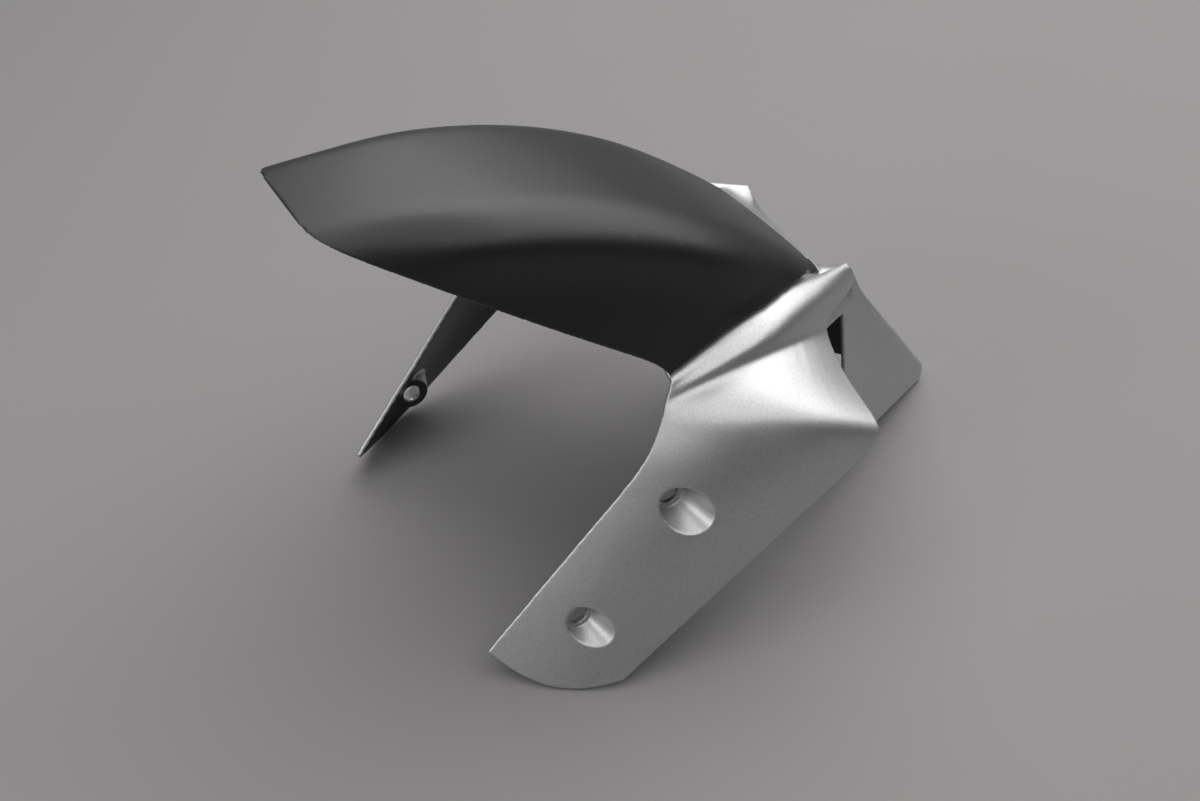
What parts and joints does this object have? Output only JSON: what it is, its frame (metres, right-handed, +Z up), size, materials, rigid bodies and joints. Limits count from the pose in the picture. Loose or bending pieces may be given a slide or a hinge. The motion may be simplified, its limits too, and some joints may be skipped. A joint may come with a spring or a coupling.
{
  "type": "front mudguard",
  "caption": "Motorbike front mudguard: a matt arched front panel on a silver rear body with a pointed tail and two slanting legs that bolt to the fork.",
  "frame": {"origin": "middle of the bounding box at its bottom, on the floor it stands on", "axes": "+Z up, -Y towards the nose, +X towards the rider's left"},
  "size_m": [0.237, 0.3419, 0.2129],
  "materials": {
    "black_moulding": "fine-grained matt black, moulded in",
    "silver_moulding": "satin metallic silver paint",
    "screw_steel": "zinc plated"
  },
  "bodies": {
    "root": {"front_panel": "black_moulding", "rear_body": "silver_moulding", "panel_screws": "screw_steel"}
  },
  "joints": []
}
